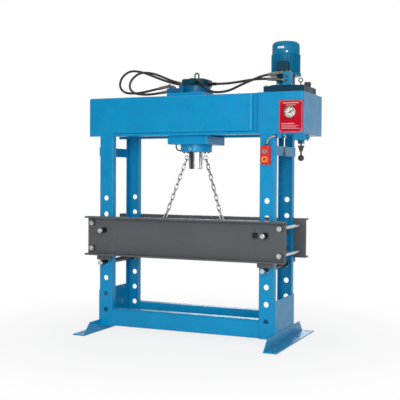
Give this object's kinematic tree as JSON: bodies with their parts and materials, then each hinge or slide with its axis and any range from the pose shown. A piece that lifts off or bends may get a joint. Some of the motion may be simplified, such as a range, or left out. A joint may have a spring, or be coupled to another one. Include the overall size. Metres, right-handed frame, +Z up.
{
  "type": "hydraulic press",
  "caption": "Blue floor-standing workshop hydraulic press: post frame with pin holes, grey table on pins, cylinder on a sliding carriage, motor pump and oil tank on the right end.",
  "frame": {"origin": "on the floor, at the centre of the four anchor holes, midway between the posts", "axes": "+Z up, +X along the frame towards the oil tank, -Y is the operator's side"},
  "size_m": [1.852, 0.98, 2.312],
  "materials": {
    "frame_blue": "gloss",
    "motor_blue": "satin",
    "head_dark": "satin",
    "bare_steel": "satin",
    "chain_steel": "satin",
    "chrome": "polished",
    "rotor_iron": "matte",
    "panel_red": "gloss",
    "box_red": "gloss",
    "glass": "clear",
    "black_plastic": "satin",
    "button_green": "gloss",
    "button_red": "gloss",
    "pipe_black": "satin",
    "hose_rubber": "matte",
    "table_grey": "satin"
  },
  "bodies": {
    "frame": {"post_front_left": "frame_blue", "post_front_right": "frame_blue", "post_rear_left": "frame_blue", "post_rear_right": "frame_blue", "foot_left": "frame_blue", "foot_right": "frame_blue", "base_beam_front": "frame_blue", "base_beam_rear": "frame_blue", "lower_side_plates": "frame_blue", "upper_straps": "frame_blue", "crosshead_beam_front": "frame_blue", "crosshead_beam_rear": "frame_blue", "carriage_rails": "bare_steel", "oil_tank": "frame_blue", "tank_lid": "frame_blue", "bell_housing": "motor_blue", "motor_body": "motor_blue", "motor_fan_cover": "motor_blue", "terminal_box": "head_dark", "pump_body": "rotor_iron", "valve_manifold": "frame_blue", "manifold_fittings": "bare_steel", "gauge_panel": "panel_red", "gauge_case": "chrome", "gauge_lens": "glass", "switch_box": "box_red", "switch_conduit": "black_plastic", "control_valve": "frame_blue", "supply_hose_front": "hose_rubber", "supply_hose_rear": "hose_rubber"},
    "carriage": {"carriage_frame": "frame_blue", "carriage_top_plate": "frame_blue", "cylinder_barrel": "frame_blue", "cylinder_gland": "frame_blue", "cylinder_head": "head_dark", "lifting_eye": "bare_steel", "port_block": "head_dark", "carriage_fittings": "bare_steel", "return_pipe": "pipe_black", "loop_hose_inner": "hose_rubber", "loop_hose_outer": "hose_rubber"},
    "ram": {"ram": "chrome", "chain_eyes": "bare_steel", "lift_chain_left": "chain_steel", "lift_chain_right": "chain_steel"},
    "table": {"table_channel_front": "table_grey", "table_channel_rear": "table_grey", "tie_rods": "bare_steel", "chain_bars": "bare_steel"},
    "motor_rotor": {"motor_rotor": "rotor_iron"},
    "filler_cap": {"filler_cap": "black_plastic"},
    "gauge_needle": {"gauge_needle": "black_plastic"},
    "start_button": {"start_button": "button_green"},
    "stop_button": {"stop_button": "button_red"},
    "control_lever": {"control_lever": "black_plastic"},
    "release_lever": {"release_lever": "bare_steel"},
    "lock_pin_left": {"lock_pin_left": "bare_steel"},
    "lock_pin_right": {"lock_pin_right": "bare_steel"},
    "support_pin_left": {"support_pin_left": "bare_steel"},
    "support_pin_right": {"support_pin_right": "bare_steel"}
  },
  "joints": [
    {"name": "carriage_slide", "type": "slide", "parent": "frame", "child": "carriage", "axis": [1, 0, 0], "range_m": [-0.35, 0.35], "deforming": ["supply_hose_front", "supply_hose_rear", "lift_chain_left", "lift_chain_right"]},
    {"name": "ram_slide", "type": "slide", "parent": "carriage", "child": "ram", "axis": [0, 0, -1], "range_m": [0, 0.3], "deforming": ["lift_chain_left", "lift_chain_right"]},
    {"name": "table_slide", "type": "slide", "parent": "frame", "child": "table", "axis": [0, 0, 1], "range_m": [0, 0.13], "deforming": ["lift_chain_left", "lift_chain_right"]},
    {"name": "lock_pin_left_slide", "type": "slide", "parent": "table", "child": "lock_pin_left", "axis": [0, 1, 0], "range_m": [0, 0.045]},
    {"name": "lock_pin_right_slide", "type": "slide", "parent": "table", "child": "lock_pin_right", "axis": [0, 1, 0], "range_m": [0, 0.045]},
    {"name": "support_pin_left_slide", "type": "slide", "parent": "frame", "child": "support_pin_left", "axis": [0, -1, 0], "range_m": [0, 0.72]},
    {"name": "support_pin_right_slide", "type": "slide", "parent": "frame", "child": "support_pin_right", "axis": [0, -1, 0], "range_m": [0, 0.72]},
    {"name": "motor_spin", "type": "hinge", "parent": "frame", "child": "motor_rotor", "pos_m": [0.744, 0.01, 2.1], "axis": [0, 0, 1], "continuous": true},
    {"name": "filler_cap_turn", "type": "hinge", "parent": "frame", "child": "filler_cap", "pos_m": [0.925, -0.01, 1.97], "axis": [0, 0, 1], "continuous": true},
    {"name": "gauge_needle_turn", "type": "hinge", "parent": "frame", "child": "gauge_needle", "pos_m": [0.872, -0.28, 1.752], "axis": [0, 1, 0], "range_deg": [-185, 80]},
    {"name": "start_button_press", "type": "slide", "parent": "frame", "child": "start_button", "axis": [0, 1, 0], "range_m": [0, 0.005], "stiffness_N_per_m": 800},
    {"name": "stop_button_press", "type": "slide", "parent": "frame", "child": "stop_button", "axis": [0, 1, 0], "range_m": [0, 0.005], "stiffness_N_per_m": 800},
    {"name": "control_lever_tilt", "type": "hinge", "parent": "frame", "child": "control_lever", "pos_m": [0.936, -0.205, 1.535], "axis": [1, 0, 0], "range_deg": [-20, 20], "stiffness_Nm_per_rad": 10},
    {"name": "release_lever_swing", "type": "hinge", "parent": "frame", "child": "release_lever", "pos_m": [0.825, -0.26, 1.572], "axis": [0, 1, 0], "range_deg": [-25, 25]}
  ]
}
